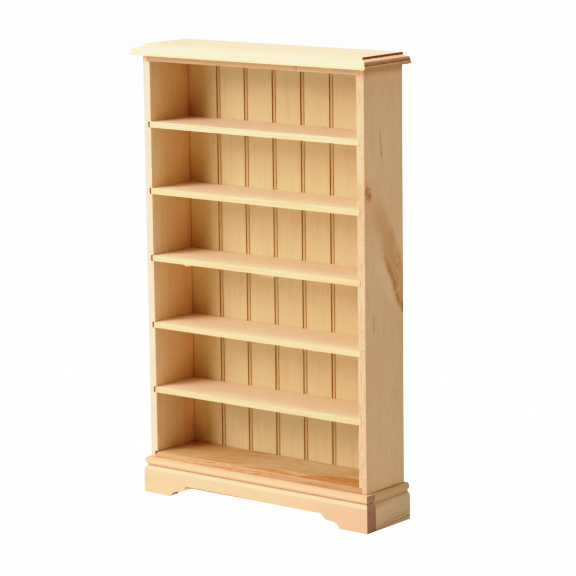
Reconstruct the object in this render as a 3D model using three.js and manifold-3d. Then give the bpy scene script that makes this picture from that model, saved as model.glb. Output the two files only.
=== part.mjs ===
// Miniature open bookcase, 1:12 scale, bare softwood, all joints glued.
//
// Units are millimetres, +Z is up. The origin is on the floor, in the middle of
// the width and in the middle of the overall depth. The open front faces -Y and
// +X is on the right of somebody looking at the open front.
//
// How it goes together: three moulded plinth boards make a U that is open at the
// rear. The carcass stands on them: two sides, housed on their inner faces for
// five shelves and rebated at both ends for the bottom shelf and the sub-top. A
// single sheet grooved as boards closes the back. The moulded top board is
// planted on the sides and the sub-top.
import * as THREE from "three";
import { mergeVertices } from "three/addons/utils/BufferGeometryUtils.js";
import Module from "manifold-3d";

const wasm = await Module();
wasm.setup();

// ---------------------------------------------------------------- dimensions
const OVERALL_HEIGHT = 180.0; // floor to the top face
const OVERALL_DEPTH = 29.6; // front of the top board to its rear edge

const CARCASS_WIDTH = 107.4; // over the outer faces of the two sides
const CARCASS_DEPTH = 24.5; // front edge to rear edge of a side
const SIDE_THICKNESS = 3.5;

const TOP_THICKNESS = 4.3;
const TOP_SIDE_OVERHANG = 3.4;
const TOP_FRONT_OVERHANG = 4.0;
const SUB_TOP_THICKNESS = 2.5;

const SHELF_THICKNESS = 2.3;
const SHELF_TOPS = [149.5, 123.2, 96.5, 69.65, 43.4]; // above the floor, shelf_1 first
const HOUSING_DEPTH = 1.35; // into each side
// The bottom shelf and the sub-top reach FULL_INSERT into both sides. The five
// shelves do so on the right only, and stop short in the left-hand housings.
const FULL_INSERT = 1.23;
const SHORT_INSERT = 0.55;

const PLINTH_HEIGHT = 14.6;
const PLINTH_THICKNESS = 5.5;
const PLINTH_SIDE_OVERHANG = 1.95;
const PLINTH_FRONT_OVERHANG = 2.35;

const PANEL_THICKNESS = 1.2;
const PANEL_REBATE = 1.7; // how far the rebate for the panel runs into each side
const PANEL_FIT = 0.1; // clearance at each edge of the panel

const GLUE_LINE = 0.02; // gap left for glue at the joints
const OVERRUN = 1; // how far a cutting solid runs past the wood

// ------------------------------------------------------------ derived places
const Y_TOP_FRONT = -OVERALL_DEPTH / 2;
const Y_REAR = OVERALL_DEPTH / 2; // rear edges of the top board and plinth
const Y_FRONT = Y_TOP_FRONT + TOP_FRONT_OVERHANG; // front edges of the carcass
const Y_PLINTH_FRONT = Y_FRONT - PLINTH_FRONT_OVERHANG;
const Y_PLINTH_BACK = Y_PLINTH_FRONT + PLINTH_THICKNESS; // rear of the front board

const Z_TOP = OVERALL_HEIGHT - TOP_THICKNESS; // underside of the top board
const Z_SUB_TOP = Z_TOP - SUB_TOP_THICKNESS;
const SIDE_HEIGHT = Z_TOP - PLINTH_HEIGHT - 2 * GLUE_LINE; // the back panel's too

const X_SIDE = CARCASS_WIDTH / 2;
const X_INNER = X_SIDE - SIDE_THICKNESS;
const X_PLINTH = X_SIDE + PLINTH_SIDE_OVERHANG;
const X_TOP = X_SIDE + TOP_SIDE_OVERHANG;

// -------------------------------------------------------------------- colours
const WOOD = {
  top: { color: 0xf2dcb6, roughness: 0.62 },
  subTop: { color: 0xdcb586, roughness: 0.66 },
  sideLeft: { color: 0xe6c592, roughness: 0.64 },
  sideRight: { color: 0xd2ab7c, roughness: 0.64 },
  shelf: { color: 0xeccfa0, roughness: 0.64 },
  bottomShelf: { color: 0xcf9a62, roughness: 0.64 },
  panel: { color: 0xdcc08a, roughness: 0.7 },
  plinthFront: { color: 0xf0cfa0, roughness: 0.62 },
  plinthSide: { color: 0xc9a574, roughness: 0.66 },
};

// -------------------------------------------------------------------- helpers
function asManifold(geometry) {
  // Normals and UVs would keep the shared corners from merging.
  geometry.deleteAttribute("normal");
  geometry.deleteAttribute("uv");
  const merged = mergeVertices(geometry, 1e-4);
  return new wasm.Manifold(
    new wasm.Mesh({
      numProp: 3,
      vertProperties: merged.attributes.position.array,
      triVerts: new Uint32Array(merged.index.array),
    }),
  );
}

// Back to three.js, with flat shading.
function asGeometry(solid) {
  const { vertProperties, triVerts } = solid.getMesh();
  const flat = new THREE.BufferGeometry()
    .setAttribute("position", new THREE.BufferAttribute(vertProperties, 3))
    .setIndex(new THREE.BufferAttribute(triVerts, 1))
    .toNonIndexed();
  flat.computeVertexNormals();
  return flat;
}

// Reverses every triangle of a non-indexed geometry.
function flip(geometry) {
  const position = geometry.getAttribute("position");
  const second = new THREE.Vector3();
  const third = new THREE.Vector3();
  for (let i = 0; i < position.count; i += 3) {
    second.fromBufferAttribute(position, i + 1);
    third.fromBufferAttribute(position, i + 2);
    position.setXYZ(i + 1, ...third);
    position.setXYZ(i + 2, ...second);
  }
  geometry.computeVertexNormals();
}

const AXIS = {
  x: new THREE.Vector3(1, 0, 0),
  y: new THREE.Vector3(0, 1, 0),
  z: new THREE.Vector3(0, 0, 1),
};

// An extruded board, starting at 0 on its long axis. The outline is a list of
// [across, up] points, in either direction round. The last three arguments say
// which axes across, up and the length of the board lie on.
function board(outline, length, across, up, along) {
  const shape = new THREE.Shape(outline.map((point) => new THREE.Vector2(...point)));
  const geometry = new THREE.ExtrudeGeometry(shape, { depth: length, bevelEnabled: false });
  const basis = new THREE.Matrix4().makeBasis(AXIS[across], AXIS[up], AXIS[along]);
  geometry.applyMatrix4(basis);
  // A left-handed set of axes turns the faces inside out.
  if (basis.determinant() < 0) flip(geometry);
  return geometry;
}

function block(x0, x1, y0, y1, z0, z1) {
  return new THREE.BoxGeometry(x1 - x0, y1 - y0, z1 - z0).translate(
    (x0 + x1) / 2,
    (y0 + y1) / 2,
    (z0 + z1) / 2,
  );
}

// Points on an ellipse, between two angles in degrees.
function ellipseArc({ centre, radii, from, to, steps }) {
  return Array.from({ length: steps + 1 }, (_, i) => {
    const angle = THREE.MathUtils.degToRad(from + ((to - from) * i) / steps);
    return [
      centre[0] + radii[0] * Math.cos(angle),
      centre[1] + radii[1] * Math.sin(angle),
    ];
  });
}

// A board with the same moulding on its front edge and both ends, and a square
// rear edge. The moulding is a list of [inset from the edge, height], going up.
function mouldedBoard(edge, { halfWidth, yFront, yBack, thickness }) {
  const front = edge.map(([inset, height]) => [yFront + inset, height]);
  const alongX = board(
    [...front, [yBack, thickness], [yBack, 0]],
    2 * halfWidth,
    "y",
    "z",
    "x",
  ).translate(-halfWidth, 0, 0);

  const left = edge.map(([inset, height]) => [-halfWidth + inset, height]);
  const right = edge.map(([inset, height]) => [halfWidth - inset, height]).reverse();
  const alongY = board(
    [...left, ...right],
    yBack - yFront + 2 * OVERRUN,
    "x",
    "z",
    "y",
  ).translate(0, yFront - OVERRUN, 0);

  return asManifold(alongX).intersect(asManifold(alongY));
}

function piece(name, geometry, look, x = 0, y = 0, z = 0) {
  const material = new THREE.MeshStandardMaterial({ ...look, metalness: 0 });
  const mesh = new THREE.Mesh(geometry, material);
  mesh.name = name;
  mesh.position.set(x, y, z);
  return mesh;
}

// ------------------------------------------------------------------ top board
const TOP_FILLET_HEIGHT = 1.05; // square edge left below the moulding
const TOP_QUIRK = 0.38; // how far the curve starts inside the fillet
const TOP_QUIRK_RISE = 0.12; // how far the curve starts above the fillet
const TOP_CURVE_WIDTH = 1.1;
const TOP_CURVE_RISE = 1.75;
const TOP_STEP_INSET = 3.84; // outer edge to the raised field
const TOP_STEP_HEIGHT = 1.0; // raised field above the inner edge of the ledge

// [inset, height above the underside], going up: square fillet, small quirk,
// quarter curve, gently rising ledge, vertical step.
const TOP_EDGE = [
  [0, 0],
  [0, TOP_FILLET_HEIGHT],
  ...ellipseArc({
    centre: [TOP_QUIRK + TOP_CURVE_WIDTH, TOP_FILLET_HEIGHT + TOP_QUIRK_RISE],
    radii: [TOP_CURVE_WIDTH, TOP_CURVE_RISE],
    from: 180,
    to: 90,
    steps: 8,
  }),
  [TOP_STEP_INSET, TOP_THICKNESS - TOP_STEP_HEIGHT],
  [TOP_STEP_INSET, TOP_THICKNESS],
];

function makeTopBoard() {
  const solid = mouldedBoard(TOP_EDGE, {
    halfWidth: X_TOP,
    yFront: Y_TOP_FRONT,
    yBack: Y_REAR,
    thickness: TOP_THICKNESS,
  });
  return asGeometry(solid);
}

// --------------------------------------------------------------------- plinth
// [inset, height] of the outer face, going up: flat face, rounded shoulder,
// quirk, bead. The bead ends at the level top.
const PLINTH_EDGE = [
  [0, 0],
  [0, 9.6],
  [0.09, 9.98],
  [0.3, 10.36],
  [0.6, 10.72],
  [0.9, 10.98],
  [1.14, 11.16],
  [1.18, 11.5],
  ...ellipseArc({ centre: [1.22, 13.1], radii: [0.9, 1.5], from: 252, to: 92, steps: 9 }),
];

const ARCH_HEIGHT = 4.75; // underside of the front board between the feet
const FOOT_INNER = 42.3; // half span at the floor
const STEP_OUTER = 39.8; // half span at the outer end of the small step
const STEP_INNER = 36.0; // half span at its inner end
const ARCH_INNER = 33.0; // half span where the upper curve nears the arch

// Right-hand half of the cut-out, as [half span, height]: floor, curve, small
// step, curve, level arch.
const BRACKET = [
  [FOOT_INNER, 0],
  [FOOT_INNER - 0.35, 0.75],
  [FOOT_INNER - 0.95, 1.45],
  [FOOT_INNER - 1.7, 2.0],
  [STEP_OUTER, 2.35],
  [STEP_INNER, 2.7],
  [STEP_INNER - 0.75, 3.05],
  [STEP_INNER - 1.5, 3.65],
  [STEP_INNER - 2.2, 4.3],
  [ARCH_INNER, ARCH_HEIGHT - 0.05],
  [ARCH_INNER - 0.8, ARCH_HEIGHT],
];

function makePlinthFront() {
  const solid = mouldedBoard(PLINTH_EDGE, {
    halfWidth: X_PLINTH,
    yFront: Y_PLINTH_FRONT,
    yBack: Y_PLINTH_BACK,
    thickness: PLINTH_HEIGHT,
  });
  const arch = [
    [-FOOT_INNER, -OVERRUN],
    [FOOT_INNER, -OVERRUN],
    ...BRACKET,
    ...BRACKET.map(([x, z]) => [-x, z]).reverse(),
  ];
  const cutter = board(arch, PLINTH_THICKNESS + 2 * OVERRUN, "x", "z", "y");
  cutter.translate(0, Y_PLINTH_FRONT - OVERRUN, 0);
  return asGeometry(solid.subtract(asManifold(cutter)));
}

// sign is -1 for the left-hand board and 1 for the right-hand one.
function makePlinthSide(sign) {
  const yStart = Y_PLINTH_BACK + GLUE_LINE;
  const inner = sign * (X_PLINTH - PLINTH_THICKNESS);
  const outline = [
    ...PLINTH_EDGE.map(([inset, height]) => [sign * (X_PLINTH - inset), height]),
    [inner, PLINTH_HEIGHT],
    [inner, 0],
  ];
  return board(outline, Y_REAR - yStart, "x", "z", "y").translate(0, yStart, 0);
}

// ---------------------------------------------------------------------- sides
// x is 0 at the inner face and grows outwards, before sign (-1 left, 1 right)
// is applied; z is 0 at the foot of the side.
function makeSide(sign) {
  const zFoot = PLINTH_HEIGHT + GLUE_LINE;
  // [bottom, top] of each cut in the inner face, going up: rebate for the bottom
  // shelf, five housings, rebate for the sub-top.
  const cuts = [
    [0, SHELF_THICKNESS + 2 * GLUE_LINE],
    ...SHELF_TOPS.map((top) => [
      top - SHELF_THICKNESS - GLUE_LINE - zFoot,
      top + GLUE_LINE - zFoot,
    ]).reverse(),
    [Z_SUB_TOP - GLUE_LINE - zFoot, SIDE_HEIGHT],
  ];
  // The two rebates are open at the ends, so the end corners are dropped.
  const inner = cuts
    .flatMap(([bottom, top]) => [
      [0, bottom],
      [HOUSING_DEPTH, bottom],
      [HOUSING_DEPTH, top],
      [0, top],
    ])
    .slice(1, -1);
  const outline = [[SIDE_THICKNESS, SIDE_HEIGHT], [SIDE_THICKNESS, 0], ...inner];
  const mirrored = outline.map(([x, z]) => [sign * x, z]);
  const body = board(mirrored, CARCASS_DEPTH, "x", "z", "y");

  // Rebate in the inner rear corner for the back panel. The block spans the
  // inner face evenly, so it serves either side.
  const rebate = block(
    -PANEL_REBATE,
    PANEL_REBATE,
    CARCASS_DEPTH - PANEL_THICKNESS,
    CARCASS_DEPTH + OVERRUN,
    -OVERRUN,
    SIDE_HEIGHT + OVERRUN,
  );
  return asGeometry(asManifold(body).subtract(asManifold(rebate)));
}

// -------------------------------------------------------------------- shelves
const SHELF_DEPTH = CARCASS_DEPTH - PANEL_THICKNESS - GLUE_LINE;

function makeShelf(thickness, insertLeft) {
  return block(-X_INNER - insertLeft, X_INNER + FULL_INSERT, 0, SHELF_DEPTH, 0, thickness);
}

// ----------------------------------------------------------------- back panel
const BOARD_PITCH = 13.95; // spacing of the double grooves
const GROOVE_PAIRS = 6;
const GROOVE_SPACING = 1.5; // between the two grooves of a pair
const GROOVE_WIDTH = 0.6;
const GROOVE_DEPTH = 0.45;

// Plan section of the sheet, front face at y = 0, with pairs of V grooves.
function makePanel() {
  const grooves = [];
  for (let i = 0; i < GROOVE_PAIRS; i++) {
    const pairCentre = (i - (GROOVE_PAIRS - 1) / 2) * BOARD_PITCH;
    for (const side of [-1, 1]) {
      const x = pairCentre + (side * GROOVE_SPACING) / 2;
      grooves.push([x - GROOVE_WIDTH / 2, 0], [x, GROOVE_DEPTH], [x + GROOVE_WIDTH / 2, 0]);
    }
  }
  const halfWidth = X_INNER + PANEL_REBATE - PANEL_FIT;
  const thickness = PANEL_THICKNESS - GLUE_LINE;
  const outline = [
    [-halfWidth, 0],
    ...grooves,
    [halfWidth, 0],
    [halfWidth, thickness],
    [-halfWidth, thickness],
  ];
  return board(outline, SIDE_HEIGHT, "x", "y", "z");
}

// ------------------------------------------------------------------- assembly
function makePlinth() {
  const plinth = new THREE.Group();
  plinth.add(
    piece("plinth_front", makePlinthFront(), WOOD.plinthFront),
    piece("plinth_left", makePlinthSide(-1), WOOD.plinthSide),
    piece("plinth_right", makePlinthSide(1), WOOD.plinthSide),
  );
  return plinth;
}

// The carcass group has its origin on the plinth, at the front edge.
function makeCarcass() {
  const bottomShelf = makeShelf(SHELF_THICKNESS, FULL_INSERT);
  const subTop = makeShelf(SUB_TOP_THICKNESS - GLUE_LINE, FULL_INSERT);
  const shelves = SHELF_TOPS.map((top, i) => {
    const z = top - SHELF_THICKNESS - PLINTH_HEIGHT;
    const shelf = makeShelf(SHELF_THICKNESS, SHORT_INSERT);
    return piece(`shelf_${i + 1}`, shelf, WOOD.shelf, 0, 0, z);
  });
  const yPanel = CARCASS_DEPTH - PANEL_THICKNESS + GLUE_LINE / 2;

  const carcass = new THREE.Group();
  carcass.position.set(0, Y_FRONT, PLINTH_HEIGHT);
  carcass.add(
    piece("side_left", makeSide(-1), WOOD.sideLeft, -X_INNER, 0, GLUE_LINE),
    piece("side_right", makeSide(1), WOOD.sideRight, X_INNER, 0, GLUE_LINE),
    piece("bottom_shelf", bottomShelf, WOOD.bottomShelf, 0, 0, GLUE_LINE),
    ...shelves,
    piece("sub_top", subTop, WOOD.subTop, 0, 0, Z_SUB_TOP - PLINTH_HEIGHT),
    piece("back_panel", makePanel(), WOOD.panel, 0, yPanel, GLUE_LINE),
  );
  return carcass;
}

const bookcase = new THREE.Group();
bookcase.add(
  makePlinth(),
  makeCarcass(),
  piece("top_board", makeTopBoard(), WOOD.top, 0, 0, Z_TOP),
);

export default bookcase;
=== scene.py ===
# Miniature bookcase: five shelves and a bottom shelf between two sides, a grooved back
# panel, a moulded top board and an arched plinth. Every board has eased arrises and its
# own procedural wood. It stands on z = 0, open toward -y, with its left side at -x.
# Sizes are in mm and are brought to metres with MM when a mesh is made.
import bpy
import bmesh
import math
import random
from mathutils import Vector, Matrix


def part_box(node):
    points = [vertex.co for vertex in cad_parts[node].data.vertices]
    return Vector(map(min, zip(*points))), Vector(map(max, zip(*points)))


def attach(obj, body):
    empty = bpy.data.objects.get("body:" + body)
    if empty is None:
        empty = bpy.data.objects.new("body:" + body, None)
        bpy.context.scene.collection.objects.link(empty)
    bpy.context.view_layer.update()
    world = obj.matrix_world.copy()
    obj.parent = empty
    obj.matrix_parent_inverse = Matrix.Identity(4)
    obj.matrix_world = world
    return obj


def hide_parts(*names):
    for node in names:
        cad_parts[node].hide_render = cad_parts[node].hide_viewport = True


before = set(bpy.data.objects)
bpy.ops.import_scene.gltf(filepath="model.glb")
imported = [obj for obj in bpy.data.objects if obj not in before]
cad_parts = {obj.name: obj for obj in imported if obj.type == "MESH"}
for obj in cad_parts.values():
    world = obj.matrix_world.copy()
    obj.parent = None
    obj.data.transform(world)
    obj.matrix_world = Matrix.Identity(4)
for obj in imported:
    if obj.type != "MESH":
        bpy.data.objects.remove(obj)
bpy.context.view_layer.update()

MM = 0.001
GLUE = 0.02            # gap between glued faces
HOUSING = 1.35         # depth of the housings in the sides
REBATE = 1.7           # width of the rebate for the back panel
GROOVE_PITCH = 13.95   # between the pairs of grooves in the back panel
GROOVE_PAIRS = 6
GROOVE_OFFSET = 0.75   # of each groove from the middle of its pair

# Shelves from the top down: radii of the left end's lower and upper corners, the pale
# and dark wood colours, and the tint of the sawn front edge.
SHELVES = {
    "shelf_1": (0.20, 0.25, (0.84, 0.63, 0.42), (0.76, 0.52, 0.31), (1.06, 0.985, 0.86)),
    "shelf_2": (0.25, 0.30, (0.85, 0.63, 0.42), (0.77, 0.52, 0.31), (1.08, 0.92, 0.74)),
    "shelf_3": (0.75, 0.65, (0.84, 0.61, 0.40), (0.76, 0.505, 0.295), (1.06, 0.93, 0.76)),
    "shelf_4": (0.30, 0.70, (0.85, 0.62, 0.405), (0.77, 0.51, 0.30), (1.06, 0.94, 0.78)),
    "shelf_5": (0.35, 0.75, (0.83, 0.605, 0.395), (0.75, 0.50, 0.29), (1.02, 0.92, 0.78)),
}


def box(node):
    """Lowest and highest corner of a CAD piece, in mm."""
    lo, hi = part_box(node)
    return [c / MM for c in lo], [c / MM for c in hi]


PANEL_FRONT = box("back_panel")[0][1]
TOP_UNDERSIDE = box("top_board")[0][2]
PLINTH_TOP = box("plinth_front")[1][2]


# ============================================================ mesh helpers
def prism(outline, axis, start, end):
    """Closed outline of 2D points pushed along an axis from start to end."""
    def place(p, t):
        return {"x": (t, p[0], p[1]), "y": (p[0], t, p[1]), "z": (p[0], p[1], t)}[axis]
    count = len(outline)
    verts = [place(p, start) for p in outline] + [place(p, end) for p in outline]
    faces = [tuple(range(count)), tuple(reversed(range(count, 2 * count)))]
    for i in range(count):
        j = (i + 1) % count
        faces.append((i, j, count + j, count + i))
    return verts, faces


def arc(cx, cy, rx, ry, start, end, steps):
    """Points along an ellipse about (cx, cy), between two angles in degrees."""
    points = []
    for i in range(steps + 1):
        angle = math.radians(start + (end - start) * i / steps)
        points.append((cx + rx * math.cos(angle), cy + ry * math.sin(angle)))
    return points


def rounded_rect(lo, hi, radii):
    """Front view of a board; radii run left bottom, right bottom, right top, left top."""
    left_bottom, right_bottom, right_top, left_top = radii
    outline = []
    for x, z, toward_x, toward_z, radius, start in (
        (lo[0], lo[2], 1, 1, left_bottom, 180), (hi[0], lo[2], -1, 1, right_bottom, 270),
        (hi[0], hi[2], -1, -1, right_top, 0), (lo[0], hi[2], 1, -1, left_top, 90),
    ):
        outline += arc(x + toward_x * radius, z + toward_z * radius, radius, radius,
                       start, start + 90, steps=6)
    return outline


def sweep(profile, x_half, y_front, y_rear, arch=None):
    """Profile of (inset, z) taken round the left, front and right, square at the rear.
    An arch of (x, z) points is cut up through it from front to rear."""
    verts = []
    for inset, z in profile:
        verts += [(-x_half + inset, y_rear, z), (-x_half + inset, y_front + inset, z),
                  (x_half - inset, y_front + inset, z), (x_half - inset, y_rear, z)]
    count = len(profile)
    faces = []
    for i in range(count - 1):
        low, high = 4 * i, 4 * i + 4
        for k in range(3):
            if arch and i == 0 and k == 1:
                continue
            faces.append((low + k, low + k + 1, high + k + 1, high + k))
    top = 4 * (count - 1)
    faces.append((top, top + 1, top + 2, top + 3))
    left = [4 * i for i in range(count)]
    right = [4 * i + 3 for i in range(count)]
    if not arch:
        faces.append((0, 1, 2, 3))
        faces.append(tuple(left + right[::-1]))
        return verts, faces
    first = len(verts)
    steps = len(arch)
    verts += [(x, y_front, z) for x, z in arch] + [(x, y_rear, z) for x, z in arch]
    front = list(range(first, first + steps))
    rear = list(range(first + steps, first + 2 * steps))
    faces.append(tuple([1] + front + [2, 6, 5]))
    faces.append(tuple([0] + rear + right + left[:0:-1]))
    faces.append((0, 1, front[0], rear[0]))
    faces.append((front[-1], 2, 3, rear[-1]))
    faces += [(front[i], front[i + 1], rear[i + 1], rear[i]) for i in range(steps - 1)]
    return verts, faces


def solid(verts, faces):
    """Closed bmesh from vertices in mm."""
    bm = bmesh.new()
    made = [bm.verts.new(Vector(v) * MM) for v in verts]
    for face in faces:
        bm.faces.new([made[i] for i in face])
    bmesh.ops.recalc_face_normals(bm, faces=bm.faces[:])
    return bm


def add_object(name, bm):
    mesh = bpy.data.meshes.new(name)
    bm.to_mesh(mesh)
    bm.free()
    ob = bpy.data.objects.new(name, mesh)
    bpy.context.scene.collection.objects.link(ob)
    return ob


def build(node, slot, verts, faces, bevels, extra=None):
    """Board that replaces a CAD piece. bevels lists (edge test, width in mm, segments);
    the faces they make are marked in "arris"."""
    bm = solid(verts, faces)
    arris = bm.faces.layers.float.new("arris")
    for test, width, segments in bevels:
        edges = []
        for e in bm.edges:
            if len(e.link_faces) == 2 and e.calc_face_angle(0) > math.radians(26):
                if test(e.verts[0].co / MM, e.verts[1].co / MM):
                    edges.append(e)
        made = bmesh.ops.bevel(
            bm, geom=edges, offset=width * MM, offset_type="OFFSET", segments=segments,
            profile=0.5, affect="EDGES", clamp_overlap=True, loop_slide=True)
        for face in made["faces"]:
            face[arris] = 1.0
    if extra:
        extra(bm)
    bmesh.ops.remove_doubles(bm, verts=bm.verts[:], dist=1e-7)
    bmesh.ops.recalc_face_normals(bm, faces=bm.faces[:])
    for face in bm.faces:
        face.smooth = True
    for e in bm.edges:
        if len(e.link_faces) == 2 and e.calc_face_angle(0) > math.radians(48):
            e.smooth = False
    ob = add_object(node + "_wood", bm)
    normals = ob.modifiers.new("normals", "WEIGHTED_NORMAL")
    normals.mode = "FACE_AREA"
    normals.weight = 60
    normals.keep_sharp = True
    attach(ob, "root")
    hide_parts(node)
    return ob


def every(a, b):
    """Edge test that takes them all."""
    return True


# ============================================================ shader helpers
class Value:
    """A shader output that can be added, multiplied and so on."""
    tree = None    # the node tree being built

    def __init__(self, socket):
        self.socket = socket

    def __add__(self, other):
        return maths("ADD", self, other)

    def __sub__(self, other):
        return maths("SUBTRACT", self, other)

    def __rsub__(self, other):
        return maths("SUBTRACT", other, self)

    def __mul__(self, other):
        return maths("MULTIPLY", self, other)

    def __truediv__(self, other):
        return maths("DIVIDE", self, other)

    def __abs__(self):
        return maths("ABSOLUTE", self)


def plug(value, socket):
    """Feed a socket from a Value, an RGB colour or a number."""
    if isinstance(value, Value):
        Value.tree.links.new(value.socket, socket)
    elif isinstance(value, tuple):
        socket.default_value = (*value, 1.0)
    else:
        socket.default_value = value


def new(kind):
    return Value.tree.nodes.new(kind)


def new_material(name):
    material = bpy.data.materials.new(name)
    material.use_nodes = True
    Value.tree = material.node_tree
    Value.tree.nodes.clear()
    return material


def maths(kind, *operands, clamp=False):
    node = new("ShaderNodeMath")
    node.operation = kind
    node.use_clamp = clamp
    for i, operand in enumerate(operands):
        plug(operand, node.inputs[i])
    return Value(node.outputs[0])


def clamp(value):
    return maths("ADD", value, 0.0, clamp=True)


def distance(a, b):
    return maths("SQRT", a * a + b * b)


def split(socket):
    """The three parts of a vector output."""
    node = new("ShaderNodeSeparateXYZ")
    Value.tree.links.new(socket, node.inputs[0])
    return [Value(part) for part in node.outputs]


def noise(x, y, z, detail=2.0, rough=0.5):
    """Noise about 0.5. The factors on mm coordinates set its fineness along each axis;
    a plain number picks a slice of it."""
    point = new("ShaderNodeCombineXYZ")
    for i, part in enumerate((x, y, z)):
        plug(part, point.inputs[i])
    node = new("ShaderNodeTexNoise")
    plug(Value(point.outputs[0]), node.inputs["Vector"])
    node.inputs["Scale"].default_value = 1.0
    node.inputs["Detail"].default_value = detail
    node.inputs["Roughness"].default_value = rough
    return Value(node.outputs["Fac"])


def ramp(value, start, end, lo=0.0, hi=1.0):
    """Eases from lo to hi as value goes from start to end, up or down."""
    node = new("ShaderNodeMapRange")
    node.interpolation_type = "SMOOTHSTEP"
    plug(value, node.inputs["Value"])
    node.inputs["From Min"].default_value = start
    node.inputs["From Max"].default_value = end
    node.inputs["To Min"].default_value = lo
    node.inputs["To Max"].default_value = hi
    return Value(node.outputs["Result"])


def fall(value, start, end):
    """Eases from 1 to 0 as value goes from start to end."""
    return ramp(value, start, end, 1.0, 0.0)


def bell(value, centre, half, soft):
    """1 within half of centre, falling to 0 over soft."""
    return fall(abs(value - centre), half, half + soft)


def mix(factor, below, above, kind="MIX"):
    node = new("ShaderNodeMix")
    node.data_type = "RGBA"
    node.blend_type = kind
    node.clamp_factor = True
    plug(factor, node.inputs[0])
    plug(below, node.inputs[6])
    plug(above, node.inputs[7])
    return Value(node.outputs[2])


class Board:
    """Wood being drawn: place in mm, face normal, and colour, rough and height so far."""

    def __init__(self):
        place = new("ShaderNodeTexCoord").outputs["Object"]
        self.x, self.y, self.z = (part * 1000.0 for part in split(place))
        normal = new("ShaderNodeNewGeometry").outputs["True Normal"]
        self.nx, self.ny, self.nz = split(normal)

    def tint(self, mask, by):
        """Multiply the colour where mask is 1."""
        self.colour = mix(mask, self.colour, by, "MULTIPLY")

    def paint(self, mask, colour):
        """Cover the colour where mask is 1."""
        self.colour = mix(mask, self.colour, colour)


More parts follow.
